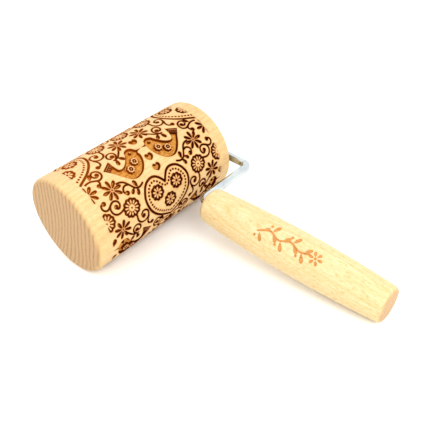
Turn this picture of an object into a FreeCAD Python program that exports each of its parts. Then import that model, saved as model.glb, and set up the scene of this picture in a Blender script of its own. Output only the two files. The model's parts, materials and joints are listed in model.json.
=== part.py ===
import FreeCAD, Part

import math
import os

# One-handed pattern roller, in millimetres.
#
# A beech drum with a pattern sunk into its surface turns freely on the axle end of a bent steel wire. The wire
# runs round one end of the drum and back to its middle, and its other end is driven into a beech handle.
#
# Frame: the origin is the centre of the drum's closed end face. +X runs along the drum's axis to the end where
# the wire comes out. -Y is the side of the handle. +Z is up, with the tool lying on a table: the drum and the
# edge of the handle's butt both touch z = -DRUM_R.

# ---- driving dimensions ----
DRUM_R = 28.0
DRUM_L = 100.0
DRUM_EDGE_R = 2.5  # rounding of both drum ends

WIRE_R = 2.5
BEND_R = 4.0  # radius of each bend, to the wire's centre line
ARM_GAP = 3.0  # drum face to the centre line of the wire's arm
CROSSBAR_OFFSET = 39.0  # drum axis to the crossbar, along the handle
HANDLE_GAP = 1.6  # straight wire between its last bend and the handle
TANG_L = 45.0  # wire inside the handle
WING_L, WING_W, WING_T = 8.0, 6.8, 1.2  # flattened wings that bite into the handle
WING_PLACES = (0.45, 0.8)  # shares of the tang's length

HANDLE_X = 62.6  # the handle's axis, from the drum's closed end
HANDLE_L = 107.0
HANDLE_FRONT_R = 9.6
HANDLE_MID_R = 11.4
HANDLE_BUTT_R = 9.0
HANDLE_FRONT_EDGE_R = 3.6
HANDLE_BUTT_EDGE_R = 1.8
TANG_END_GAP = 2.0  # tip of the tang to the bottom of its hole

BORE_R = 5.0  # the drum's blind bore
BORE_DEPTH = 80.0
MOUTH_R = 6.0  # wider seat for the mouth bush
MOUTH_DEPTH = 13.0
FLANGE_R = 8.0
FLANGE_T = 1.2
FLANGE_RECESS = BEND_R - ARM_GAP  # below the drum's face, so the bush ends where the wire starts to bend
RUNNING_CLEARANCE = 0.05  # radial, between axle and bushes
INNER_BUSH_L = 10.0
AXLE_TIP_GAP = 3.0  # axle tip to the bottom of the bore

CLIP_T = 0.7
CLIP_R = 4.65  # outer radius; fits the bore with room to spare
CLIP_SEAT_R = 3.2  # radius of the open space between the clip's lips
CLIP_GROOVE_R = 2.0  # the groove's floor, which the lips grip
CLIP_PLAY = 0.15  # end play of the drum on the axle
CLIP_LIP_W = 1.6

PATTERN_DEPTH = 1.4
PATTERN_HALF_W = 41.0  # the pattern is cut off square at both sides
PATTERN_X = 50.5  # middle of the pattern, from the drum's closed end
REPEATS = 2  # the pattern repeats this many times round the drum
LINE_W = 0.95  # width of a sunk vine
HEART_W = 31.5  # the big hearts
OUTLINE_W = 1.25  # width of their sunk outline

# ---- derived dimensions ----
ARM_X = DRUM_L + ARM_GAP
HANDLE_FRONT = CROSSBAR_OFFSET + BEND_R + HANDLE_GAP  # distances from the drum's axis, along the handle
HANDLE_BUTT = HANDLE_FRONT + HANDLE_L
TANG_END = HANDLE_FRONT + TANG_L
BORE_END = DRUM_L - BORE_DEPTH
AXLE_TIP = BORE_END + AXLE_TIP_GAP
BUSH_FACE = DRUM_L - FLANGE_RECESS
MOUTH_END = DRUM_L - MOUTH_DEPTH
CLIP_END = MOUTH_END - CLIP_PLAY
CLIP_START = CLIP_END - CLIP_T
PERIOD = 2 * math.pi * DRUM_R / REPEATS  # length of one repeat, round the surface

ORIGIN = FreeCAD.Vector(0, 0, 0)
X_AXIS = FreeCAD.Vector(1, 0, 0)
TO_HANDLE = FreeCAD.Vector(0, -1, 0)


def level(x, q, r=0.0):
    """A point of the untilted tool: x along the drum, q from its axis towards the handle, r further along x."""
    return FreeCAD.Vector(x + r, -q, 0)


def handle_side():
    """The shallow arc that the handle's side is turned to, level."""
    front = level(HANDLE_X, HANDLE_FRONT, HANDLE_FRONT_R)
    middle = level(HANDLE_X, (HANDLE_FRONT + HANDLE_BUTT) / 2, HANDLE_MID_R)
    return Part.Arc(front, middle, level(HANDLE_X, HANDLE_BUTT, HANDLE_BUTT_R)).toShape()


def resting_tilt():
    """Angle in radians by which the handle drops below level, so that its butt's edge lies on the table."""
    side = handle_side().Curve
    centre_q = HANDLE_BUTT - HANDLE_BUTT_EDGE_R
    drop = math.sqrt((side.Radius - HANDLE_BUTT_EDGE_R) ** 2 - (centre_q + side.Center.y) ** 2)
    centre_r = side.Center.x - HANDLE_X + drop
    reach = math.hypot(centre_q, centre_r)
    return math.asin((DRUM_R - HANDLE_BUTT_EDGE_R) / reach) - math.atan2(centre_r, centre_q)


TILT = resting_tilt()


def tilted(shape):
    """Turns a shape drawn level, with the handle along -Y, down to how the tool lies on the table."""
    shape.rotate(ORIGIN, X_AXIS, math.degrees(TILT))
    return shape


def x_cylinder(radius, start, end):
    return Part.makeCylinder(radius, end - start, FreeCAD.Vector(start, 0, 0), X_AXIS)


def x_tube(outer_r, inner_r, start, end):
    return x_cylinder(outer_r, start, end).cut(x_cylinder(inner_r, start, end))


# ---- the wire, its clip and the handle ----


def bend(before, corner, after):
    """The arc that rounds a corner between two straight stretches of wire."""
    back = (before - corner).normalize() * BEND_R
    ahead = (after - corner).normalize() * BEND_R
    centre = corner + back + ahead
    middle = centre + (corner - centre).normalize() * BEND_R
    return Part.Arc(corner + back, middle, corner + ahead).toShape()


def wire_path():
    """Centre line of the wire, level: axle, arm round the drum's end, crossbar, tang in the handle."""
    corners = [
        level(AXLE_TIP, 0),
        level(ARM_X, 0),
        level(ARM_X, CROSSBAR_OFFSET),
        level(HANDLE_X, CROSSBAR_OFFSET),
        level(HANDLE_X, TANG_END),
    ]
    edges = []
    start = corners[0]
    for before, corner, after in zip(corners, corners[1:], corners[2:]):
        arc = bend(before, corner, after)
        edges += [Part.makeLine(start, arc.valueAt(arc.FirstParameter)), arc]
        start = arc.valueAt(arc.LastParameter)
    edges.append(Part.makeLine(start, corners[-1]))
    return Part.Wire(edges)


def make_wire_frame():
    """One bent wire, grooved for the clip, with swaged wings on the tang so that it can't turn or pull out."""
    section = Part.Wire(Part.makeCircle(WIRE_R, level(AXLE_TIP, 0), X_AXIS))
    wire = wire_path().makePipeShell([section], True, True)
    wire = wire.cut(x_tube(WIRE_R + 1, CLIP_GROOVE_R, CLIP_START, CLIP_END))
    for share in WING_PLACES:
        middle_q = HANDLE_FRONT + TANG_L * share
        corner = FreeCAD.Vector(HANDLE_X - WING_W / 2, -middle_q - WING_L / 2, -WING_T / 2)
        wire = wire.fuse(Part.makeBox(WING_W, WING_L, WING_T, corner))
    return tilted(wire.removeSplitter())


def make_retaining_clip():
    """An open spring ring with three inner lips that grip the axle's groove."""
    clip = x_tube(CLIP_R, CLIP_SEAT_R, CLIP_START, CLIP_END)
    for angle in (90, 210, 330):
        corner = FreeCAD.Vector(CLIP_START, 0, -CLIP_LIP_W / 2)
        lip = Part.makeBox(CLIP_T, (CLIP_SEAT_R + CLIP_R) / 2, CLIP_LIP_W, corner)
        lip.rotate(ORIGIN, X_AXIS, angle)
        clip = clip.fuse(lip)
    clip = clip.cut(x_cylinder(CLIP_GROOVE_R, CLIP_START, CLIP_END))
    mouth_corner = FreeCAD.Vector(CLIP_START, -CLIP_GROOVE_R, -2 * CLIP_R)
    mouth = Part.makeBox(CLIP_T, 2 * CLIP_GROOVE_R, 2 * CLIP_R, mouth_corner)
    return tilted(clip.cut(mouth).removeSplitter())


def make_handle():
    """A turned barrel: one shallow arc from end to end, with rounded edges and a hole for the tang."""
    front_centre, butt_centre = level(HANDLE_X, HANDLE_FRONT), level(HANDLE_X, HANDLE_BUTT)
    outline = Part.Wire([
        Part.makeLine(front_centre, level(HANDLE_X, HANDLE_FRONT, HANDLE_FRONT_R)),
        handle_side(),
        Part.makeLine(level(HANDLE_X, HANDLE_BUTT, HANDLE_BUTT_R), butt_centre),
        Part.makeLine(butt_centre, front_centre),
    ])
    body = Part.Solid(Part.Face(outline).revolve(front_centre, TO_HANDLE, 360))

    def rim(q):
        return [edge for edge in body.Edges if len(edge.Vertexes) == 1 and abs(edge.CenterOfMass.y + q) < 0.01]

    body = body.makeFillet(HANDLE_FRONT_EDGE_R, rim(HANDLE_FRONT))
    body = body.makeFillet(HANDLE_BUTT_EDGE_R, rim(HANDLE_BUTT))
    hole = Part.makeCylinder(WIRE_R, TANG_L + TANG_END_GAP, front_centre, TO_HANDLE)
    return tilted(body.cut(hole)).cut(make_wire_frame())


# ---- motifs ----
# A motif is an outline on the unrolled surface: u runs along the drum and v round it, towards the handle.


def flat(u, v):
    """A point of the unrolled surface, laid in the plane z = 0 so that v leads to the handle."""
    return FreeCAD.Vector(u, -v, 0)


def teardrop(length, width):
    """A petal along +u from its point: two straight sides and a round end."""
    r = width / 2
    centre = length - r
    lean = math.acos(r / centre)
    touch_u, touch_v = centre - r * math.cos(lean), r * math.sin(lean)
    return Part.Wire([
        Part.makeLine(flat(0, 0), flat(touch_u, -touch_v)),
        Part.Arc(flat(touch_u, -touch_v), flat(length, 0), flat(touch_u, touch_v)).toShape(),
        Part.makeLine(flat(touch_u, touch_v), flat(0, 0)),
    ])


def small_heart(width):
    """A heart of four arcs with its tip towards +v."""
    cleft, lobe, edge = (0, -0.24), (0.27, -0.46), (0.5, -0.16)
    flank, tip = (0.32, 0.18), (0, 0.46)
    arcs = [(1, cleft, lobe, edge), (1, edge, flank, tip), (-1, tip, flank, edge), (-1, edge, lobe, cleft)]
    edges = []
    for side, *points in arcs:
        edges.append(Part.Arc(*[flat(side * width * u, width * v) for u, v in points]).toShape())
    return Part.Wire(edges)


def vine(heading, arcs):
    """A line of even width along arcs that follow on from each other, each a (radius, sweep in degrees)."""
    u = v = 0.0
    angle = math.radians(heading)
    sides = {1: [], -1: []}

    def beside(side):
        return flat(u - side * LINE_W / 2 * math.sin(angle), v + side * LINE_W / 2 * math.cos(angle))

    for radius, sweep in arcs:
        half_sweep = math.radians(sweep) / 2
        chord = 2 * radius * math.sin(abs(half_sweep) / 2)
        stations = [{side: beside(side) for side in sides}]
        for _ in range(2):
            u += chord * math.cos(angle + half_sweep / 2)
            v += chord * math.sin(angle + half_sweep / 2)
            angle += half_sweep
            stations.append({side: beside(side) for side in sides})
        for side, edges in sides.items():
            edges.append(Part.Arc(*[station[side] for station in stations]).toShape())
    ends = [Part.makeLine(sides[1][i].Vertexes[i].Point, sides[-1][i].Vertexes[i].Point) for i in (0, -1)]
    return Part.Wire(Part.__sortEdges__(sides[1] + sides[-1] + ends))


def big_heart(inset):
    """Points of half the textbook heart curve, its tip towards +v, moved inwards by an even distance."""
    scale = HEART_W / 32
    steps = 12
    half = []
    for i in range(1, steps):
        t = math.pi * i / steps
        u = 16 * math.sin(t) ** 3
        v = 13 * math.cos(t) - 5 * math.cos(2 * t) - 2 * math.cos(3 * t) - math.cos(4 * t)
        du = 48 * math.sin(t) ** 2 * math.cos(t)
        dv = -13 * math.sin(t) + 10 * math.sin(2 * t) + 6 * math.sin(3 * t) + 4 * math.sin(4 * t)
        slope = inset / math.hypot(du, dv)
        half.append((scale * u + slope * dv, slope * du - scale * (v + 2.5)))
    half = [(u, v) for u, v in half if u > 0.02 * HEART_W]
    cleft, tip = (0, half[0][1] + half[0][0]), (0, half[-1][1] + half[-1][0])
    half = [cleft] + half + [tip]
    return [half, [(-u, v) for u, v in reversed(half)]]


def bird(side):
    """Curves round a plump bird with a raised tail; it faces side, and its beak is the origin of u."""
    back = [
        (0, -4.3), (-2.2, -5.2), (-4, -7.5), (-6.6, -8.2), (-9, -6.7), (-10.2, -3.3),
        (-13.4, -0.1), (-17, 0.3), (-19.4, -2.5), (-19.8, -6.3),
    ]
    tail = [(-19.8, -6.3), (-21, -4.1), (-23.8, -3.5)]
    belly = [(-23.8, -3.5), (-21.4, 1.9), (-17.4, 6.3), (-11.8, 8.3), (-6.4, 6.3), (-3.4, 2.1), (-2.7, -1.7), (0, -4.3)]
    curves = [back, tail[:2], tail[1:], belly]
    return [[(side * u, v) for u, v in curve] for curve in curves]


# ---- cutting tools, each a solid that sinks one motif into the drum ----


def turned_to(tool, v):
    """A tool made at the top of the drum, turned round the drum to v."""
    tool.rotate(ORIGIN, X_AXIS, math.degrees(v / DRUM_R))
    return tool


def punch(outline, x, v, turn=0.0, side=1):
    """A straight-walled tool for a small motif, turned by an angle in degrees and mirrored if side is -1."""
    tool = Part.Face(outline).extrude(FreeCAD.Vector(0, 0, 4 * PATTERN_DEPTH))
    tool.rotate(ORIGIN, FreeCAD.Vector(0, 0, 1), -turn)
    if side < 0:
        tool = tool.mirror(ORIGIN, X_AXIS)
    tool.translate(FreeCAD.Vector(PATTERN_X + x, 0, DRUM_R - 2 * PATTERN_DEPTH))
    return turned_to(tool, v)


def drilling(x, v, radius):
    """A straight round tool."""
    return punch(Part.Wire(Part.makeCircle(radius)), x, v)


def prism(curves, x, v):
    """A tool for a big motif, drawn as closed curves of points. All its walls lead to the drum's axis.

    Its walls are ruled between a plane above the surface and a plane below the pattern's floor.
    """
    reach = max(abs(point[1]) for curve in curves for point in curve)
    top = DRUM_R + 1
    bottom = (DRUM_R - PATTERN_DEPTH) * math.cos(reach / DRUM_R) - 0.3

    def section(z):
        edges = []
        for curve in curves:
            points = [FreeCAD.Vector(PATTERN_X + x + u, -z * math.tan(w / DRUM_R), z) for u, w in curve]
            spline = Part.BSplineCurve()
            spline.interpolate(Points=points)
            edges.append(spline.toShape())
        return Part.Wire(edges)

    return turned_to(Part.makeLoft([section(top), section(bottom)], True, True), v)


def rosette(x, v, radius):
    """A sunk ring round a sunk dot."""
    ring = drilling(x, v, radius).cut(drilling(x, v, 0.68 * radius))
    return [ring, drilling(x, v, 0.24 * radius)]


def daisy(x, v, radius, first_angle=0.0):
    """Eight sunk petals that point at a centre."""
    tools = []
    for i in range(8):
        turn = first_angle + 45 * i
        du = 0.22 * radius * math.cos(math.radians(turn))
        dv = 0.22 * radius * math.sin(math.radians(turn))
        tools.append(punch(teardrop(0.78 * radius, 0.36 * radius), x + du, v + dv, turn))
    return tools


def column(x, v):
    """The motifs on a column's own line, from the top: rosette, small hearts, big heart with three rosettes."""
    outline = prism(big_heart(0), x, v + 41.5).cut(prism(big_heart(OUTLINE_W), x, v + 41.5))
    tools = [outline] + rosette(x, v - 8, 5.3)
    for dx, dv in ((-7, 37), (7, 37), (0, 44.9)):
        tools += rosette(x + dx, v + dv, 4.3)
    for dv in (5.8, 18.4, 25):
        tools.append(punch(small_heart(4.8), x, v + dv))
    return tools


# One side of a column, for x > 0. Vines are (x, v, heading, arcs), leaves (x, v, turn, length).
VINES = (
    (29.2, 34.4, 25, [(8, -20), (3.5, -185), (2.4, -140)]),
    (25.3, 21.6, 185, [(5, -60), (60, -4), (3.6, 75), (8, 15)]),
    (38.8, 13.9, 200, [(6, -50), (10, 12), (2.9, 200), (1.9, 170)]),
    (9.8, 5.2, 52, [(30, -8), (6, -45)]),
    (17.4, -3.2, 75, [(12, 20), (3.7, -190), (2.3, -150)]),
)
LEAVES = ((16.3, 29.0, 68, 3.2), (15.8, 10.4, 74, 3.4), (35.3, 13.0, -125, 3.3))


def side_of_column(x, v, side):
    """The motifs that stand to one side of a column; side is 1 or -1."""
    pocket = prism(bird(-side), x + side * 1.3, v + 16.2)
    for dx, dv in ((8.5, 16.2), (13, 19)):
        pocket = pocket.cut(drilling(x + side * dx, v + dv, 1.5))
    tools = [pocket]
    tools += daisy(x + side * 7.6, v + 1.6, 5.2, 22.5)
    tools += daisy(x + side * 28.8, v + 23, 5.4)
    tools += rosette(x + side * 16.5, v - 8, 5.3)
    for dx, dv, heading, arcs in VINES:
        tools.append(punch(vine(heading, arcs), x + side * dx, v + dv, 0, side))
    for dx, dv, turn, length in LEAVES:
        tools.append(punch(teardrop(length, 0.5 * length), x + side * dx, v + dv, turn, side))
    return tools


def pattern_pockets():
    """Every pocket: a column in the middle, and one at each edge half a repeat further round."""
    tools = column(0, 0) + side_of_column(0, 0, 1) + side_of_column(0, 0, -1)
    for side in (-1, 1):
        tools += column(side * PATTERN_HALF_W, PERIOD / 2) + side_of_column(side * PATTERN_HALF_W, PERIOD / 2, -side)
    band = x_tube(
        DRUM_R + PATTERN_DEPTH, DRUM_R - PATTERN_DEPTH, PATTERN_X - PATTERN_HALF_W, PATTERN_X + PATTERN_HALF_W
    )
    one_repeat = band.common(tools)
    pockets = []
    for i in range(REPEATS):
        turned = one_repeat.copy()
        turned.rotate(ORIGIN, X_AXIS, 360 * i / REPEATS)
        pockets += turned.Solids
    return pockets


# ---- the drum and its bushes ----


def make_drum():
    body = x_cylinder(DRUM_R, 0, DRUM_L)
    body = body.makeFillet(DRUM_EDGE_R, [edge for edge in body.Edges if len(edge.Vertexes) == 1])
    holes = x_cylinder(BORE_R, BORE_END, DRUM_L)
    holes = holes.fuse(x_cylinder(MOUTH_R, MOUTH_END, DRUM_L))
    holes = holes.fuse(x_cylinder(FLANGE_R, BUSH_FACE - FLANGE_T, DRUM_L))
    return body.cut(holes.removeSplitter()).cut(pattern_pockets())


def bush(outer_r, start, end):
    """A sleeve that the axle runs in."""
    return x_tube(outer_r, WIRE_R + RUNNING_CLEARANCE, start, end)


def make_mouth_bush():
    """A flanged nylon bush pressed into the drum's open end."""
    return bush(MOUTH_R, MOUTH_END, BUSH_FACE).fuse(bush(FLANGE_R, BUSH_FACE - FLANGE_T, BUSH_FACE)).removeSplitter()


def make_inner_bush():
    """A plain nylon bush at the bottom of the bore, round the axle's tip."""
    return bush(BORE_R, BORE_END, BORE_END + INNER_BUSH_L)


def main():
    makers = {
        "wire_frame": make_wire_frame,
        "retaining_clip": make_retaining_clip,
        "handle": make_handle,
        "mouth_bush": make_mouth_bush,
        "inner_bush": make_inner_bush,
        "drum": make_drum,
    }
    os.makedirs("parts", exist_ok=True)
    for name, make in makers.items():
        shape = make()
        if len(shape.Solids) != 1 or not shape.isValid():
            raise RuntimeError(f"{name} is not one valid solid")
        shape.Solids[0].exportStep(f"parts/{name}.step")
        print(f"{name}: {len(shape.Faces)} faces, {shape.Volume:.0f} mm3")


main()
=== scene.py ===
import json
import math

import bpy
import numpy as np
from mathutils import Matrix, Vector


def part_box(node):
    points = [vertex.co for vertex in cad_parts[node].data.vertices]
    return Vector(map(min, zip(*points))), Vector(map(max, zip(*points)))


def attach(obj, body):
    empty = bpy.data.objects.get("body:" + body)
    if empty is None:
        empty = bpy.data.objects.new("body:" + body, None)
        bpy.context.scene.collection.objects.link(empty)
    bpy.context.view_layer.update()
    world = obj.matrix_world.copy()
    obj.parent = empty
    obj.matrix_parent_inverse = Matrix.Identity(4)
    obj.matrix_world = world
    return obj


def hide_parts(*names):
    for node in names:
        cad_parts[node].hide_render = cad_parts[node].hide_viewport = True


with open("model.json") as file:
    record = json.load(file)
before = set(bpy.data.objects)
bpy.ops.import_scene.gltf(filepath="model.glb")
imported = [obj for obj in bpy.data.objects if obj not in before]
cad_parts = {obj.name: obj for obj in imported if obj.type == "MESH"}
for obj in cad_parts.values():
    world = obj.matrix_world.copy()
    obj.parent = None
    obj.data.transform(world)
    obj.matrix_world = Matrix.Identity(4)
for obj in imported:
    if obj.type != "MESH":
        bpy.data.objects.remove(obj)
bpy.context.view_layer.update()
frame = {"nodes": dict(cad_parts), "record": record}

# One-handed pattern roller. The drum and the handle are rebuilt as fine lathe meshes over their CAD nodes,
# so that the sunk pattern and the burnt mark on the handle are real relief. The wire, the bushes and the
# clip are the CAD's own. Lengths are in millimetres until they reach a mesh.

MM = 0.001

# ---- sizes, from the frame ----


def box_mm(node):
    low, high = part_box(node)
    return low / MM, high / MM


MOUNTS = {mount["name"]: mount for mount in frame["record"]["mounts"]}
DRUM_LOW, DRUM_HIGH = box_mm("drum")
DRUM_L = DRUM_HIGH.x - DRUM_LOW.x
DRUM_R = (DRUM_HIGH.z - DRUM_LOW.z) / 2
DRUM_EDGE_R = 2.5

BUSH_LOW, BUSH_HIGH = box_mm("mouth_bush")
FLANGE_R = BUSH_HIGH.z
FLANGE_T = 1.2
MOUTH_R = 6.0
BORE_LOW, BORE_HIGH = box_mm("inner_bush")
BORE_R = BORE_HIGH.z

HANDLE_L = 107.0
HANDLE_FRONT_R = 9.6
HANDLE_MID_R = 11.4
HANDLE_BUTT_R = 9.0
HANDLE_FRONT_EDGE_R = 3.6
HANDLE_BUTT_EDGE_R = 1.8
HANDLE_AXIS = Vector(MOUNTS["handle_butt_face"]["axis"]).normalized()
HANDLE_FRONT = Vector(MOUNTS["handle_butt_face"]["pos_m"]) / MM - HANDLE_AXIS * HANDLE_L
TANG_HOLE_R = 2.5
TANG_HOLE_L = 47.0

PATTERN_DEPTH = 1.4
PATTERN_HALF_W = 41.0
PATTERN_X = DRUM_L / 2
PERIOD = 84.6  # round the drum; a second repeat, a little longer, takes up the rest of the way round
PATTERN_START = -14.0  # round the drum from its top, to where the first repeat starts
LINE_W = 0.88
HEART_W = 31.8
OUTLINE_W = 1.15
BEAD_R = 0.52
BEAD_PITCH = 1.85
BEAD_CLEAR = 1.85  # a bead nearer than this to the middle of the outline is left out
BEAD_INSET = 2.35  # from the middle of that outline to the beads inside it
SCORE_W = 0.6  # lines scored into a pocket's floor
SCORE_DEPTH = 0.2
SCORE_CUT = -0.15  # a scored line is burnt as dark as a pocket is this near its wall

BURN_IN = -2.0  # distances to a pocket's edge between which its burn is coloured
BURN_OUT = 0.5

MARK_DEPTH = 0.15
MARK_WALL_W = 0.25
MARK_STATION = 55.0  # middle of the mark, from the handle's front
MARK_V = 6.0  # the same, round the handle from its top

FAR = 3.0  # distance to the pattern where there is none near
WALL_W = 0.36  # width over which a pocket's wall drops, seen from above

DRUM_ROWS = 301
DRUM_COLUMNS = 300  # for each repeat
HANDLE_ROWS = 300
HANDLE_COLUMNS = 320

WORLD_STRENGTH = 1.5
SOFTBOX_W = 5.0
SOFTBOX_SIZE = 0.5  # metres, as are the places of the light and the camera
SOFTBOX_PLACE = Vector((-0.12, -0.70, 0.62))
SOFTBOX_AIM = Vector((0.05, -0.05, 0))
CAMERA_AZIMUTH = -43.5
CAMERA_ELEVATION = 36.6
CAMERA_ROLL = -7.9
CAMERA_TARGET = Vector((0.0513, -0.0598, 0))
CAMERA_DISTANCE = 0.2809
CAMERA_LENS = 46.4

# ---- relief: signed distances to the edge of a sunk pattern, on a grid over an unrolled surface ----
# u runs along the axis and v round it. A motif is (reach, distance), where distance(u, v) is negative inside.


class Relief:
    def __init__(self, u, start, around, columns):
        self.u = u
        self.v = start + np.arange(columns) * around / columns
        self.around = around
        self.distance = np.full((len(u), columns), FAR)

    def _near(self, motif, u, v, turn, side):
        """The grid cells near a motif placed at (u, v), and its distances there."""
        reach, distance = motif
        dv = (self.v - v + self.around / 2) % self.around - self.around / 2
        rows = np.flatnonzero(abs(self.u - u) < reach + 1)
        columns = np.flatnonzero(abs(dv) < reach + 1)
        local_u = side * (self.u[rows] - u)[:, None]
        local_v = dv[columns][None, :]
        c, s = math.cos(math.radians(turn)), math.sin(math.radians(turn))
        return np.ix_(rows, columns), distance(c * local_u + s * local_v, c * local_v - s * local_u)

    def sink(self, motif, u, v, turn=0.0, side=1):
        cells, distance = self._near(motif, u, v, turn, side)
        self.distance[cells] = np.minimum(self.distance[cells], distance)

    def spare(self, motif, u, v, turn=0.0, side=1):
        """Leaves a motif standing in what has been sunk so far."""
        cells, distance = self._near(motif, u, v, turn, side)
        self.distance[cells] = np.maximum(self.distance[cells], -distance)


def disc(radius):
    return radius, lambda u, v: np.hypot(u, v) - radius


def lobed_disc(radius, lobes, dip):
    """A disc whose rim has round lobes; dip is how far the rim falls between them."""

    def distance(u, v):
        wave = abs(np.sin(lobes / 2 * np.arctan2(v, u)))
        return np.hypot(u, v) - radius + dip * (1 - wave)

    return radius, distance


def to_segment(u, v, start, end):
    du, dv = end[0] - start[0], end[1] - start[1]
    share = np.clip(((u - start[0]) * du + (v - start[1]) * dv) / (du * du + dv * dv), 0, 1)
    return np.hypot(u - start[0] - share * du, v - start[1] - share * dv)


def line(points, width):
    reach = max(math.hypot(*point) for point in points) + width

    def distance(u, v):
        return np.min([to_segment(u, v, a, b) for a, b in zip(points, points[1:])], axis=0) - width / 2

    return reach, distance


def area(points):
    """The inside of a closed outline."""
    reach = max(math.hypot(*point) for point in points)
    corners = list(zip(points, points[1:] + points[:1]))

    def distance(u, v):
        inside = np.zeros(np.broadcast(u, v).shape, bool)
        for (u0, v0), (u1, v1) in corners:
            if v0 != v1:
                inside ^= ((v0 > v) != (v1 > v)) & (u < (v - v0) * (u1 - u0) / (v1 - v0) + u0)
        edge = np.min([to_segment(u, v, a, b) for a, b in corners if a != b], axis=0)
        return np.where(inside, -edge, edge)

    return reach, distance


# ---- outlines ----


def smooth_curve(points, steps=5):
    """A Catmull-Rom curve through the points."""
    ends = [tuple(2 * a - b for a, b in zip(points[0], points[1]))]
    ends += [tuple(2 * a - b for a, b in zip(points[-1], points[-2]))]
    padded = [ends[0]] + points + [ends[1]]
    curve = []
    for p0, p1, p2, p3 in zip(padded, padded[1:], padded[2:], padded[3:]):
        for i in range(steps):
            t = i / steps
            point = []
            for a, b, c, d in zip(p0, p1, p2, p3):
                square, cube = 2 * a - 5 * b + 4 * c - d, 3 * b - a - 3 * c + d
                point.append(0.5 * (2 * b + (c - a) * t + square * t**2 + cube * t**3))
            curve.append(tuple(point))
    return curve + [points[-1]]


def heart(width):
    """A full heart, its tip towards +v and its origin halfway down."""
    half = [
        (0, -0.50), (0.13, -0.69), (0.28, -0.83), (0.46, -0.87), (0.69, -0.80), (0.88, -0.60),
        (1, -0.28), (0.94, 0.09), (0.77, 0.37), (0.52, 0.60), (0.25, 0.76), (0, 0.89),
    ]
    right = [(u * width / 2, v * width / 2) for u, v in smooth_curve(half, 4)]
    return right + [(-u, v) for u, v in reversed(right[1:-1])]


def petal(length, width):
    """A rounded petal along +u from its narrow end."""
    points = []
    for i in range(24):
        t = 2 * math.pi * i / 24
        taper = abs(math.sin(t / 2)) ** 0.8
        points.append((length / 2 * (1 - math.cos(t)), width / 2 * math.sin(t) * taper))
    return points


def bird():
    """A plump bird that faces +u, its beak's tip near u = 0 and its square-ended tail raised."""
    back = [
        (0.9, -4.6), (-1.9, -5.1), (-3.2, -7.2), (-5.4, -8.3), (-8.0, -7.3), (-9.3, -4.9),
        (-12.3, -1.4), (-15.4, 0.3), (-17.7, -0.2), (-18.7, -3.2), (-19.0, -7.2),
    ]
    belly = [
        (-24.8, -3.7), (-21.4, 0.2), (-18.6, 3.9), (-14.8, 7.5), (-11.0, 8.4),
        (-6.6, 6.7), (-3.4, 3.0), (-2.0, -0.9), (-2.0, -3.6), (0.9, -4.6),
    ]
    return smooth_curve(back) + smooth_curve(belly)[:-1]


def vine(heading, arcs):
    """Points along arcs that follow on from each other, each a (radius, sweep in degrees)."""
    u = v = 0.0
    angle = math.radians(heading)
    points = [(u, v)]
    for radius, sweep in arcs:
        count = max(2, round(abs(sweep) / 12))
        half_step = math.radians(sweep) / count / 2
        chord = 2 * radius * math.sin(abs(half_step))
        for _ in range(count):
            angle += half_step
            u += chord * math.cos(angle)
            v += chord * math.sin(angle)
            angle += half_step
            points.append((u, v))
    return points


def along(points, pitch, inset):
    """Evenly spaced places on a line that runs inside a closed outline."""
    ring = np.array(points[-1:] + points + points[:2])
    slopes = ring[2:] - ring[:-2]
    inner = ring[1:-1] + inset * np.c_[-slopes[:, 1], slopes[:, 0]] / np.hypot(*slopes.T)[:, None]
    run = np.r_[0, np.cumsum(np.hypot(*np.diff(inner, axis=0).T))]
    stops = np.arange(pitch / 2, run[-1], pitch)
    return [(np.interp(stop, run, inner[:, 0]), np.interp(stop, run, inner[:, 1])) for stop in stops]


# ---- the drum's pattern ----


def sink_daisy(relief, u, v, radius, first_angle=0.0):
    """Eight sunk petals round a small sunk dot."""
    relief.sink(disc(0.07 * radius), u, v)
    for i in range(8):
        turn = first_angle + 45 * i
        du = 0.16 * radius * math.cos(math.radians(turn))
        dv = 0.16 * radius * math.sin(math.radians(turn))
        relief.sink(area(petal(0.86 * radius, 0.40 * radius)), u + du, v + dv, turn)


def spare_petals(relief, u, v, count, start, end, width):
    """Standing petals round a centre, from one radius to another."""
    for i in range(count):
        turn = 360 * (i + 0.5) / count
        du = start * math.cos(math.radians(turn))
        dv = start * math.sin(math.radians(turn))
        relief.spare(area(petal(end - start, width)), u + du, v + dv, turn)


def sink_small_rosette(relief, u, v, radius):
    """A sunk scalloped disc with eight standing petals round a sunk dot."""
    relief.sink(lobed_disc(radius, 9, 0.5), u, v)
    spare_petals(relief, u, v, 8, 0.12 * radius, 0.72 * radius, 0.36 * radius)
    relief.spare(disc(0.28 * radius), u, v)
    relief.sink(disc(0.15 * radius), u, v)


def sink_big_rosette(relief, u, v, radius):
    """A sunk scalloped disc with twelve standing petals round a standing hub."""
    relief.sink(lobed_disc(radius, 12, 0.45), u, v)
    spare_petals(relief, u, v, 12, 0.28 * radius, 0.80 * radius, 0.26 * radius)
    relief.spare(disc(0.36 * radius), u, v)
    relief.sink(disc(0.08 * radius), u, v)


def sink_big_heart(relief, u, v):
    outline = heart(HEART_W - OUTLINE_W)
    relief.sink(line(outline + outline[:1], OUTLINE_W), u, v)
    for du, dv in along(outline, BEAD_PITCH, BEAD_INSET):
        if area(outline)[1](du, dv) < -BEAD_CLEAR:
            relief.sink(disc(BEAD_R), u + du, v + dv)


def sink_column(relief, u, v):
    """The motifs on a column's own line: rosette, small hearts, big heart with three rosettes."""
    sink_big_rosette(relief, u, v - 6.3, 5.3)
    sink_big_heart(relief, u, v + 41.5)
    for du, dv in ((-7, 37), (7, 37), (0, 44.9)):
        sink_small_rosette(relief, u + du, v + dv, 4.4)
    for dv in (5.8, 18.4, 25):
        relief.sink(area(heart(4.8)), u, v + dv)


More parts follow.
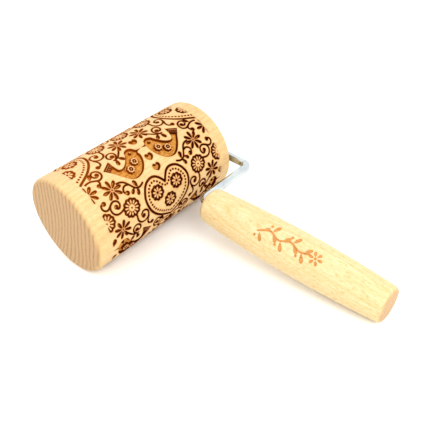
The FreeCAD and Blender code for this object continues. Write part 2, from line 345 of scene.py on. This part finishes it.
# One side of a column, for u > 0. Vines are (u, v, heading, arcs, dot radius), leaves (u, v, turn, length).
VINES = (
    (29.2, 34.4, 25, [(8, -20), (3.5, -185), (2.4, -140), (1.0, -150)], 1.15),
    (32.6, 28.1, 20, [(12, 18), (2.2, -150), (1.4, -100)], 1.15),
    (25.3, 21.6, 185, [(5, -60), (60, -4), (3.6, 75), (8, 15)], 0),
    (20.3, 25.0, -35, [(2.6, 120), (1.4, 100)], 1.2),
    (38.8, 13.9, 200, [(6, -50), (10, 12), (2.9, 200), (1.9, 170), (0.9, 110)], 1.1),
    (32.6, 14.9, 140, [(1.8, -130)], 1.2),
    (9.8, 5.2, 52, [(30, -8), (6, -45)], 0),
    (15.4, 9.5, 210, [(3.6, 50), (2.5, 200), (1.4, 150)], 1.2),
    (17.7, -1.4, 84, [(12, 11), (3.7, -190), (2.3, -150), (1.0, -120)], 1.2),
    (24.8, 3.5, 125, [(6, -30), (2.2, -110)], 1.15),
)
LEAVES = (
    (16.0, 28.3, -78, 3.4), (16.3, 28.9, 68, 3.2), (18.2, 27.9, 42, 3.0),
    (14.2, 9.6, 128, 3.3), (15.8, 10.2, 74, 3.4), (35.3, 13.0, -125, 3.3),
)


def sink_bird(relief, u, v, side):
    """A bird with a standing eye, two standing flowers and a barred tail; score_bird scores the wing round
    the flowers.
    """
    relief.sink(area(bird()), u, v, 0, side)
    relief.spare(disc(0.5), u - side * 5.6, v - 5.5)
    for du, dv in ((-7.3, 0.0), (-11.9, 2.8)):
        flower_u, flower_v = u + side * du, v + dv
        relief.spare(lobed_disc(2.1, 8, 0.35), flower_u, flower_v)
        relief.sink(lobed_disc(1.2, 6, 0.25), flower_u, flower_v)
        relief.spare(disc(0.42), flower_u, flower_v)
    relief.spare(line([(-19.9, -5.6), (-23.7, -3.3)], 0.4), u, v, 0, side)
    for step in range(4):
        du, dv = -19.6 - 1.05 * step, -4.9 + 0.64 * step
        relief.spare(line([(du, dv), (du + 0.55, dv + 0.95)], 0.34), u, v, 0, side)


# Feather strokes on a bird that faces +u: (u, v, heading, sweep).
FEATHERS = ((-6.4, 6.2, 195, 18), (-10, 7.2, 190, 24), (-14.6, 5.6, 215, 18), (-17, 2.2, 230, 24))


def score_bird(score, u, v, side):
    """Lines scored into the floor of a bird: two lobes of a wing, and feather strokes below them."""
    score.sink(line(vine(75, [(3.1, 190)]), SCORE_W), u - side * 4.2, v - 0.6, 0, side)
    score.sink(line(vine(85, [(3.3, 210), (9, 40)]), SCORE_W), u - side * 8.7, v + 3.0, 0, side)
    for du, dv, heading, sweep in FEATHERS:
        score.sink(line(vine(heading, [(9, sweep)]), SCORE_W * 0.7), u + side * du, v + dv - 0.8, 0, side)


def sink_side(relief, score, u, v, side):
    """The motifs that stand to one side of a column; side is 1 or -1."""
    sink_bird(relief, u + side * 1.3, v + 16.2, -side)
    score_bird(score, u + side * 1.3, v + 16.2, -side)
    sink_daisy(relief, u + side * 7.6, v + 1.6, 5.2, 22.5)
    sink_daisy(relief, u + side * 29.2, v + 23.1, 5.4)
    sink_daisy(relief, u + side * 41.4, v + 19.3, 5.2)
    sink_big_rosette(relief, u + side * 16.5, v - 6.3, 5.3)
    for du, dv, heading, arcs, dot_r in VINES:
        points = vine(heading, arcs)
        relief.sink(line(points, LINE_W), u + side * du, v + dv, 0, side)
        if dot_r:
            relief.sink(disc(dot_r), u + side * (du + points[-1][0]), v + dv + points[-1][1])
    for du, dv, turn, length in LEAVES:
        relief.sink(area(petal(1.15 * length, 0.76 * length)), u + side * du, v + dv, turn, side)


def drum_relief(rows, columns):
    """One repeat of the pattern and of the lines scored into its floors, set round the drum."""
    u = np.linspace(-PATTERN_HALF_W, PATTERN_HALF_W, rows)
    sunk = Relief(u, PATTERN_START, PERIOD, columns)
    scored = Relief(u, PATTERN_START, PERIOD, columns)
    for column, first in ((0, 0), (-PATTERN_HALF_W, PERIOD / 2), (PATTERN_HALF_W, PERIOD / 2)):
        sink_column(sunk, column, first)
        for side in (-1, 1):
            if column * side <= 0:
                sink_side(sunk, scored, column, first, side)
    return u, sunk.distance, scored.distance


# ---- the handle's mark: a plain leaf sprig ----


def handle_mark(stations, columns):
    """Shallow branded sprig that runs along the handle: a wavy stem with leaves, berries and a flower."""
    relief = Relief(stations, 0, 2 * math.pi * HANDLE_MID_R, columns)
    middle, level = MARK_STATION, MARK_V
    stem = [(-17, 1.6), (-11, -1.0), (-5, 1.0), (1, -1.0), (7, 0.9), (12, -0.4)]
    relief.sink(line(smooth_curve(stem), 0.75), middle, level)
    for place, (du, dv) in enumerate(stem[:-1]):
        way = 1 if place % 2 else -1
        relief.sink(area(petal(4.4, 2.2)), middle + du + 1.4, level + dv - 0.5 * way, -62 * way)
        relief.sink(area(petal(3.6, 1.9)), middle + du + 2.6, level + dv + 1.3 * way, 40 * way)
        relief.sink(disc(0.6), middle + du - 0.6, level + dv - 2.6 * way)
    relief.sink(disc(0.6), middle + 15.4, level)
    for i in range(6):
        turn = 60 * i
        du, dv = 1.1 * math.cos(math.radians(turn)), 1.1 * math.sin(math.radians(turn))
        relief.sink(area(petal(2.4, 1.6)), middle + 15.4 + du, level + dv, turn)
    return relief.distance


# ---- meshes ----


def lathe(name, rings, angle, origin, axis, top):
    """A closed solid of rings about an axis, from an end point to an end point.

    Each ring is (station along the axis, radius, cut), where radius and cut are a number or one for each
    column. angle holds the columns' angles from top, which run clockwise as seen along the axis. cut is kept
    as the point attribute cut_mm.
    """
    axis = axis.normalized()
    side = axis.cross(top).normalized()
    top = side.cross(axis)
    columns = len(angle)
    spokes = np.outer(np.cos(angle), top) + np.outer(np.sin(angle), side)
    points, cuts = [np.array([origin + axis * rings[0][0]])], [np.array([FAR])]
    for station, radius, cut in rings:
        points.append(np.array(origin + axis * station) + spokes * np.broadcast_to(radius, columns)[:, None])
        cuts.append(np.broadcast_to(cut, columns))
    points.append(np.array([origin + axis * rings[-1][0]]))
    cuts.append(np.array([FAR]))
    points = np.concatenate(points) * MM

    here = np.arange(columns)
    ahead = (here + 1) % columns
    last = len(points) - 1
    faces = [(0, int(1 + b), int(1 + a)) for a, b in zip(here, ahead)]
    for ring in range(len(rings) - 1):
        near, far = 1 + ring * columns, 1 + (ring + 1) * columns
        faces += np.c_[near + here, near + ahead, far + ahead, far + here].tolist()
    near = last - columns
    faces += [(last, int(near + a), int(near + b)) for a, b in zip(here, ahead)]

    mesh = bpy.data.meshes.new(name)
    mesh.from_pydata(points.tolist(), [], faces)
    mesh.attributes.new("cut_mm", "FLOAT", "POINT").data.foreach_set("value", np.concatenate(cuts))
    mesh.shade_smooth()
    mesh.set_sharp_from_angle(angle=math.radians(85))
    piece = bpy.data.objects.new(name, mesh)
    bpy.context.scene.collection.objects.link(piece)
    return piece


def fall(distance, width):
    """0 outside an edge, rising smoothly to 1 a wall's width inside it."""
    share = np.clip(-distance / width, 0, 1)
    return share * share * (3 - 2 * share)


def rounded(start, radius, edge_r, way):
    """A rounded rim, from a flat face at station start out to the given radius; way is 1 or -1."""
    rings = []
    for t in np.linspace(0, math.pi / 2, 9):
        rings.append((start + way * edge_r * (1 - math.cos(t)), radius - edge_r * (1 - math.sin(t)), FAR))
    return rings


def make_drum():
    columns = DRUM_COLUMNS
    u, sunk, scored = drum_relief(DRUM_ROWS, columns)
    first_repeat = (PATTERN_START + np.arange(columns) * PERIOD / columns) / DRUM_R
    rest = 2 * math.pi - PERIOD / DRUM_R
    second_repeat = (PATTERN_START + PERIOD) / DRUM_R + np.arange(columns) * rest / columns
    sunk, scored = np.tile(sunk, (1, 2)), np.tile(scored, (1, 2))
    score = fall(scored, SCORE_W / 2) * fall(sunk, WALL_W)
    depth = PATTERN_DEPTH * fall(sunk, WALL_W) + SCORE_DEPTH * score
    cut = sunk + score * (np.maximum(sunk, SCORE_CUT) - sunk)

    first, last = PATTERN_X - PATTERN_HALF_W, PATTERN_X + PATTERN_HALF_W
    step = u[1] - u[0]
    seat = BUSH_HIGH.x - FLANGE_T
    rings = [(0, r, FAR) for r in np.linspace(2, DRUM_R - DRUM_EDGE_R, 9)[:-1]]
    rings += rounded(0, DRUM_R, DRUM_EDGE_R, 1)
    rings += [(x, DRUM_R, FAR) for x in np.linspace(DRUM_EDGE_R, first - step, 6)[1:]]
    rings += [(PATTERN_X + x, DRUM_R - row_depth, row) for x, row_depth, row in zip(u, depth, cut)]
    rings += [(x, DRUM_R, FAR) for x in np.linspace(last + step, DRUM_L - DRUM_EDGE_R, 6)[:-1]]
    rings += reversed(rounded(DRUM_L, DRUM_R, DRUM_EDGE_R, -1))
    rings += [(DRUM_L, r, FAR) for r in np.linspace(DRUM_R - DRUM_EDGE_R, FLANGE_R, 7)[1:]]
    rings += [(seat, FLANGE_R, FAR), (seat, MOUTH_R, FAR)]
    rings += [(BUSH_LOW.x, MOUTH_R, FAR), (BUSH_LOW.x, BORE_R, FAR), (BORE_LOW.x, BORE_R, FAR)]
    angle = np.concatenate([first_repeat, second_repeat])
    return lathe("engraved_drum", rings, angle, Vector((0, 0, 0)), Vector((1, 0, 0)), Vector((0, 0, 1)))


def circle_through(a, b, c):
    """Centre and radius of the circle through three points of a profile."""
    (x0, y0), (x1, y1), (x2, y2) = a, b, c
    scale = 2 * (x0 * (y1 - y2) + x1 * (y2 - y0) + x2 * (y0 - y1))
    s0, s1, s2 = x0 * x0 + y0 * y0, x1 * x1 + y1 * y1, x2 * x2 + y2 * y2
    x = (s0 * (y1 - y2) + s1 * (y2 - y0) + s2 * (y0 - y1)) / scale
    y = (s0 * (x2 - x1) + s1 * (x0 - x2) + s2 * (x1 - x0)) / scale
    return x, y, math.hypot(x0 - x, y0 - y)


def handle_profile(rows):
    """Stations and radii of the turned handle's outline, from the front face to the butt."""
    centre, belly, belly_r = circle_through(
        (0, HANDLE_FRONT_R), (HANDLE_L / 2, HANDLE_MID_R), (HANDLE_L, HANDLE_BUTT_R)
    )

    def rounding(face, edge_r, way):
        """The arc that rounds an edge, from its flat face to where it meets the side."""
        station = face + way * edge_r
        rise = math.sqrt((belly_r - edge_r) ** 2 - (station - centre) ** 2)
        meet = math.atan2(rise, way * (centre - station))
        turns = np.linspace(0, meet, 9)
        return [(station - way * edge_r * math.cos(t), belly + rise + edge_r * math.sin(t)) for t in turns]

    front = rounding(0, HANDLE_FRONT_EDGE_R, 1)
    butt = rounding(HANDLE_L, HANDLE_BUTT_EDGE_R, -1)
    side = np.linspace(front[-1][0], butt[-1][0], rows)[1:-1]
    return front + [(x, belly + math.sqrt(belly_r**2 - (x - centre) ** 2)) for x in side] + butt[::-1]


def make_handle():
    columns = HANDLE_COLUMNS
    profile = handle_profile(HANDLE_ROWS)
    stations = np.array([station for station, _ in profile])
    mark = handle_mark(stations, columns)
    depth = MARK_DEPTH * fall(mark, MARK_WALL_W)
    halfway = (TANG_HOLE_R + profile[0][1]) / 2
    rings = [(TANG_HOLE_L, TANG_HOLE_R, FAR), (0, TANG_HOLE_R, FAR), (0, halfway, FAR)]
    for (station, radius), row_depth, row in zip(profile, depth, mark):
        rings.append((station, radius - row_depth, row))
    rings.append((HANDLE_L, profile[-1][1] / 2, FAR))
    angle = np.arange(columns) * 2 * math.pi / columns
    return lathe("turned_handle", rings, angle, HANDLE_FRONT, HANDLE_AXIS, Vector((0, 0, 1)))


# ---- materials ----


class Shader:
    """Builds a node material; every method returns an output socket."""

    def __init__(self, name):
        self.material = bpy.data.materials.new(name)
        self.material.use_nodes = True
        self.tree = self.material.node_tree
        self.tree.nodes.clear()

    def node(self, kind, inputs, **settings):
        made = self.tree.nodes.new("ShaderNode" + kind)
        for name, value in settings.items():
            setattr(made, name, value)
        for key, value in inputs.items():
            if isinstance(value, bpy.types.NodeSocket):
                self.tree.links.new(value, made.inputs[key])
            else:
                made.inputs[key].default_value = value
        return made

    def math(self, operation, *values, clamp=False):
        inputs = dict(enumerate(values))
        return self.node("Math", inputs, operation=operation, use_clamp=clamp).outputs[0]

    def vector(self, operation, *values):
        made = self.node("VectorMath", dict(enumerate(values)), operation=operation)
        return made.outputs["Value" if operation in ("LENGTH", "DOT_PRODUCT") else "Vector"]

    def object_mm(self):
        coordinates = self.node("TexCoord", {}).outputs["Object"]
        return self.vector("MULTIPLY", coordinates, (1 / MM, 1 / MM, 1 / MM))

    def noise(self, vector, stretch, detail=2.0, roughness=0.5, distortion=0.0):
        """Noise from about 0.3 to 0.7; stretch is its frequency along each axis, per millimetre."""
        inputs = {
            "Vector": self.vector("MULTIPLY", vector, stretch),
            "Scale": 1.0,
            "Detail": detail,
            "Roughness": roughness,
            "Distortion": distortion,
        }
        return self.node("TexNoise", inputs).outputs[0]

    def ramp(self, factor, *stops, interpolation="LINEAR"):
        """A colour ramp; each stop is (position, colour or grey)."""
        made = self.node("ValToRGB", {"Fac": factor})
        made.color_ramp.interpolation = interpolation
        elements = made.color_ramp.elements
        while len(elements) < len(stops):
            elements.new(0.5)
        for element, (position, colour) in zip(elements, stops):
            element.position = position
            element.color = (colour,) * 3 + (1,) if isinstance(colour, (int, float)) else (*colour, 1)
        return made.outputs[0]

    def mix(self, factor, a, b, blend="MIX"):
        made = self.node("Mix", {}, data_type="RGBA", blend_type=blend)
        for index, value in ((0, factor), (6, a), (7, b)):
            if isinstance(value, bpy.types.NodeSocket):
                self.tree.links.new(value, made.inputs[index])
            else:
                made.inputs[index].default_value = value if index == 0 else (*value, 1)
        return made.outputs[2]

    def finish(self, colour, roughness, height=None, bump=0.0, **more):
        """Principled surface; bump is the height's full swing in millimetres."""
        inputs = {"Base Color": colour, "Roughness": roughness}
        inputs.update(more)
        if height is not None:
            bumped = self.node("Bump", {"Strength": 1.0, "Distance": bump * MM, "Height": height})
            inputs["Normal"] = bumped.outputs[0]
        surface = self.node("BsdfPrincipled", inputs).outputs[0]
        self.node("OutputMaterial", {"Surface": surface})
        return self.material


def srgb(red, green, blue):
    """Linear colour from display values of 0 to 255."""
    channels = (red, green, blue)
    return tuple(((c / 255 + 0.055) / 1.055) ** 2.4 if c > 10 else c / 255 / 12.92 for c in channels)


def tint(colour, *factors):
    """The colour scaled by one factor, or by one for each channel."""
    factors = factors * 3 if len(factors) == 1 else factors
    return tuple(min(1.0, c * f) for c, f in zip(colour, factors))


def beech(name, wood):
    """Turned beech, as one of the woods described under "put together"."""
    light, dark, end_tone = wood["light"], wood["dark"], wood["end_tone"]
    s = Shader(name)
    turn = wood["grain"].rotation_difference(Vector((1, 0, 0))).to_euler()
    object_mm = s.object_mm()
    turned = s.node("VectorRotate", {"Vector": object_mm, "Rotation": turn}, rotation_type="EULER_XYZ")
    place = turned.outputs[0]

    # Growth rings: distance from the pith, with a slow wander along the grain.
    across = s.vector("MULTIPLY", s.vector("SUBTRACT", place, (0, *wood["pith"])), (0, 1, 1))
    wander = s.math("MULTIPLY", s.math("SUBTRACT", s.noise(place, (0.012, 0.03, 0.03), 2), 0.5), 7)
    radius = s.math("ADD", s.vector("LENGTH", across), wander)
    radius = s.math("ADD", radius, s.vector("DOT_PRODUCT", place, (wood["ring_lean"], 0, 0)))
    phase = s.math("FRACT", s.math("DIVIDE", radius, wood["ring_pitch"]))
    ring = s.ramp(phase, (0.0, 0.5), (0.2, 0.05), (0.5, 0.0), (0.78, 0.45), (0.92, 1.0), (1.0, 0.5))

    fibre = s.noise(place, (0.3, 3.0, 3.0), 3, 0.6)
    streak = s.noise(place, (0.06, 0.8, 0.8), 3, 0.55)
    cloud = s.noise(place, (0.02, 0.06, 0.06), 2)
    fleck_noise = s.noise(place, (0.45, 1.7, 1.7), 2, 0.5)
    fleck = s.ramp(fleck_noise, (0.56, 0.0), (0.66, 1.0))
    gap = s.ramp(fleck_noise, (0.34, 1.0), (0.44, 0.0))

    side = s.mix(s.ramp(streak, (0.30, 0.0), (0.70, 0.75)), light, dark)
    side = s.mix(s.math("MULTIPLY", ring, wood["ring_show"]), side, tint(dark, 0.90, 0.76, 0.55))
    side = s.mix(s.math("MULTIPLY", fleck, wood["fleck_show"]), side, tint(dark, 0.88, 0.70, 0.48))
    side = s.mix(s.math("MULTIPLY", gap, 0.25), side, tint(light, 1.12))
    side = s.mix(s.ramp(fibre, (0.35, 0.25), (0.6, 0.0)), side, tint(dark, 0.75))
    side = s.mix(s.ramp(cloud, (0.4, 0.0), (0.62, 0.2)), side, tint(dark, 0.9, 0.85, 0.78))

    # Painted glare: a painted highlight that makes the wood paler towards one side, by an amount from 0 to 1
    # that changes across the object.
    painted_glare = s.math("ADD", s.vector("DOT_PRODUCT", object_mm, wood["painted_glare_per_mm"]), wood["painted_glare"], clamp=True)
    side = s.mix(s.math("MULTIPLY", painted_glare, 0.2), side, tint(light, 1.1))

    # End grain is darker and shows the rings clearly, with open pores and paler specks.
    normal = s.node("TexCoord", {}).outputs["Normal"]
    facing = s.math("ABSOLUTE", s.vector("DOT_PRODUCT", normal, tuple(wood["grain"])))
    end_amount = s.ramp(facing, (0.30, 0.0), (0.80, 0.55), (1.0, 1.0))
    pore = s.noise(place, (0.05, 2.2, 2.2), 2, 0.6)
    mottle = s.noise(place, (0.05, 0.45, 0.45), 3, 0.6)
    end_ring = s.math("MULTIPLY", ring, s.ramp(mottle, (0.36, 1.0), (0.62, 0.55)))
    end = s.mix(end_ring, tint(end_tone, 1.16), tint(end_tone, 0.46, 0.36, 0.30))
    end = s.mix(s.ramp(pore, (0.54, 0.0), (0.66, 0.6)), end, tint(end_tone, 1.45))
    end = s.mix(s.ramp(pore, (0.34, 0.35), (0.46, 0.0)), end, tint(end_tone, 0.62))
    bare = s.mix(end_amount, side, end)

    # Burnt pockets, hatched along the grain.
    cut = s.node("Attribute", {}, attribute_name="cut_mm").outputs["Fac"]
    wobble = s.math("MULTIPLY", s.math("SUBTRACT", s.noise(place, (1.5, 1.5, 1.5), 2), 0.5), 0.12)
    span = BURN_OUT - BURN_IN
    # The painted glare also stretches the burn's colours over the distance to an edge, so the pockets read
    # lighter where the painted highlight falls.
    spread = s.math("ADD", s.math("MULTIPLY", painted_glare, 0.4), 0.65)
    reach = s.math("MULTIPLY", s.math("ADD", cut, wobble), spread)
    reach = s.math("DIVIDE", s.math("SUBTRACT", reach, BURN_IN), span, clamp=True)
    stops = [((distance - BURN_IN) / span, colour, strength) for distance, colour, strength in wood["burn"]]
    burn_colour = s.ramp(reach, *[(position, colour) for position, colour, _ in stops])
    burn_amount = s.ramp(reach, *[(position, strength) for position, _, strength in stops])
    hatch = s.noise(place, (0.5, 2.4, 2.4), 3, 0.6)
    deep = s.math("SUBTRACT", 1.0, s.ramp(reach, (0.52, 0.0), (0.62, 1.0)))
    burn_colour = s.mix(s.ramp(hatch, (0.36, 0.6), (0.5, 0.0)), burn_colour, srgb(84, 30, 4))
    highlight = s.math("MULTIPLY", s.ramp(hatch, (0.5, 0.0), (0.64, 0.6)), deep)
    burn_colour = s.mix(highlight, burn_colour, srgb(204, 158, 90))
    # Painted glare on the burn: paler and more orange where the painted highlight falls.
    burn_colour = s.mix(s.math("MULTIPLY", painted_glare, 0.5), burn_colour, srgb(180, 88, 12))
    colour = s.mix(burn_amount, bare, burn_colour)

    height = s.math("ADD", s.math("MULTIPLY", fibre, 0.6), s.math("MULTIPLY", fleck, -0.3))
    height = s.math("ADD", height, s.math("MULTIPLY", s.math("MULTIPLY", hatch, burn_amount), 2.0))
    burnt_roughness = s.math("ADD", s.math("MULTIPLY", burn_amount, 0.2), 0.42)
    roughness = s.math("ADD", s.math("MULTIPLY", fibre, 0.2), burnt_roughness)
    shine = s.math("MULTIPLY", s.math("SUBTRACT", 1.0, burn_amount), 0.3)
    return s.finish(colour, roughness, height, 0.06, **{"IOR": 1.45, "Specular IOR Level": shine})


def plated_wire():
    """Bright plating with fine draw lines and a few dull patches."""
    s = Shader("plated_wire")
    place = s.object_mm()
    lines = s.noise(place, (3.0, 3.0, 3.0), 4, 0.65)
    patches = s.noise(place, (0.12, 0.12, 0.12), 3, 0.6)
    colour = s.mix(s.ramp(patches, (0.4, 0.0), (0.65, 1.0)), srgb(196, 204, 206), srgb(178, 186, 190))
    roughness = s.math("ADD", s.math("MULTIPLY", patches, 0.14), s.math("MULTIPLY", lines, 0.10))
    return s.finish(colour, roughness, lines, 0.008, Metallic=1.0)


def nylon():
    s = Shader("bush_nylon")
    place = s.object_mm()
    speckle = s.noise(place, (2.0, 2.0, 2.0), 3, 0.6)
    colour = s.mix(s.ramp(speckle, (0.35, 0.0), (0.7, 1.0)), srgb(236, 233, 222), srgb(218, 214, 200))
    roughness = s.math("ADD", s.math("MULTIPLY", speckle, 0.25), 0.35)
    soft = {"Subsurface Weight": 0.15, "Subsurface Scale": 0.001}
    return s.finish(colour, roughness, speckle, 0.02, **soft)


def spring_steel():
    s = Shader("spring_steel")
    place = s.object_mm()
    grain = s.noise(place, (4.0, 4.0, 4.0), 3, 0.6)
    colour = s.mix(s.ramp(grain, (0.35, 0.0), (0.7, 1.0)), srgb(96, 98, 104), srgb(66, 66, 70))
    return s.finish(colour, s.math("ADD", s.math("MULTIPLY", grain, 0.2), 0.25), grain, 0.01, Metallic=1.0)


def floor_paint():
    s = Shader("floor_white")
    place = s.object_mm()
    mottle = s.noise(place, (0.02, 0.02, 0.02), 2)
    colour = s.mix(s.ramp(mottle, (0.3, 0.0), (0.7, 1.0)), srgb(250, 249, 247), srgb(247, 246, 243))
    return s.finish(colour, 0.7)


def dress(piece, material):
    piece.data.materials.clear()
    piece.data.materials.append(material)


# ---- stage ----


def make_floor():
    bpy.ops.mesh.primitive_plane_add(size=6, location=(0, 0, -DRUM_R * MM))
    floor = bpy.context.object
    floor.name = "floor"
    dress(floor, floor_paint())


def add_softbox():
    light = bpy.data.lights.new("front", "AREA")
    light.shape = "DISK"
    light.size = SOFTBOX_SIZE
    light.energy = SOFTBOX_W
    lamp = bpy.data.objects.new("front", light)
    lamp.location = SOFTBOX_PLACE
    lamp.rotation_mode = "QUATERNION"
    lamp.rotation_quaternion = (SOFTBOX_AIM - SOFTBOX_PLACE).to_track_quat("-Z", "Y")
    bpy.context.scene.collection.objects.link(lamp)


def light_scene():
    world = bpy.data.worlds.new("studio")
    world.use_nodes = True
    background = world.node_tree.nodes["Background"].inputs
    background["Color"].default_value = (1.0, 0.985, 0.965, 1)
    background["Strength"].default_value = WORLD_STRENGTH
    bpy.context.scene.world = world
    add_softbox()
    bpy.context.scene.view_settings.view_transform = "Standard"


def add_camera():
    """The camera stands off the drum's closed end, on the handle's side, and is rolled slightly."""
    azimuth = math.radians(CAMERA_AZIMUTH)
    elevation = math.radians(CAMERA_ELEVATION)
    roll = math.radians(CAMERA_ROLL)
    back = Vector((
        math.sin(azimuth) * math.cos(elevation),
        -math.cos(azimuth) * math.cos(elevation),
        math.sin(elevation),
    ))
    level_right = Vector((math.cos(azimuth), math.sin(azimuth), 0))
    level_up = back.cross(level_right)
    right = level_right * math.cos(roll) + level_up * math.sin(roll)
    up = back.cross(right)
    camera_data = bpy.data.cameras.new("camera")
    camera_data.sensor_width = 36
    camera_data.lens = CAMERA_LENS
    camera_data.clip_start = 0.01
    camera = bpy.data.objects.new("camera", camera_data)
    stand = Matrix.Translation(CAMERA_TARGET + back * CAMERA_DISTANCE)
    camera.matrix_world = stand @ Matrix((right, up, back)).transposed().to_4x4()
    bpy.context.scene.collection.objects.link(camera)
    bpy.context.scene.camera = camera


# ---- put together ----

# A wood: grain is its long direction, and pith the growth rings' centre, across the grain in mm. The rings
# are ring_pitch mm apart and shift inwards by ring_lean mm per mm along the grain. ring_show and fleck_show
# are how strongly rings and flecks show, from 0 to 1. A painted glare, a painted highlight, makes the wood
# and its burn paler, from 0 to 1: by painted_glare at the origin and by painted_glare_per_mm per mm from
# there. burn colours the sunk pattern by the distance to its edge, negative inside: (mm, colour, strength).
DRUM_WOOD = {
    "grain": Vector((1, 0, 0)),
    "pith": (150, 60),
    "ring_pitch": 2.85,
    "ring_lean": 0.02,
    "ring_show": 0.32,
    "fleck_show": 0.5,
    "light": srgb(206, 180, 132),
    "dark": srgb(194, 157, 104),
    "end_tone": srgb(167, 134, 92),
    # Painted glare: the drum is painted paler towards its top, its back and its closed end, as a painted
    # highlight.
    "painted_glare": 0.9,
    "painted_glare_per_mm": (-0.010, 0.020, 0.010),
    "burn": (
        (-2.0, srgb(182, 132, 60), 1.0),
        (-0.52, srgb(182, 124, 52), 1.0),
        (-0.36, srgb(120, 48, 6), 1.0),
        (-0.23, srgb(42, 4, 0), 1.0),
        (-0.04, srgb(42, 4, 0), 1.0),
        (0.06, srgb(138, 56, 6), 0.80),
        (0.20, srgb(200, 128, 36), 0.40),
        (0.45, srgb(206, 142, 50), 0.0),
    ),
}
HANDLE_WOOD = {
    "grain": HANDLE_AXIS,
    "pith": (91, -35),
    "ring_pitch": 1.5,
    "ring_lean": 0.05,
    "ring_show": 0.45,
    "fleck_show": 0.75,
    "light": srgb(213, 199, 160),
    "dark": srgb(206, 178, 123),
    "end_tone": srgb(172, 140, 98),
    "painted_glare": 0,
    "painted_glare_per_mm": (0, 0, 0),
    "burn": (
        (-2.0, srgb(196, 138, 76), 0.9),
        (-0.25, srgb(190, 126, 62), 0.9),
        (0.0, srgb(178, 108, 46), 0.85),
        (0.20, srgb(196, 150, 98), 0.0),
    ),
}

drum = make_drum()
dress(drum, beech("drum_beech", DRUM_WOOD))
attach(drum, "drum")
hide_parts("drum")

handle = make_handle()
dress(handle, beech("handle_beech", HANDLE_WOOD))
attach(handle, "frame")
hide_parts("handle")

dress(frame["nodes"]["wire_frame"], plated_wire())
dress(frame["nodes"]["mouth_bush"], nylon())
dress(frame["nodes"]["inner_bush"], nylon())
dress(frame["nodes"]["retaining_clip"], spring_steel())

make_floor()
light_scene()
add_camera()
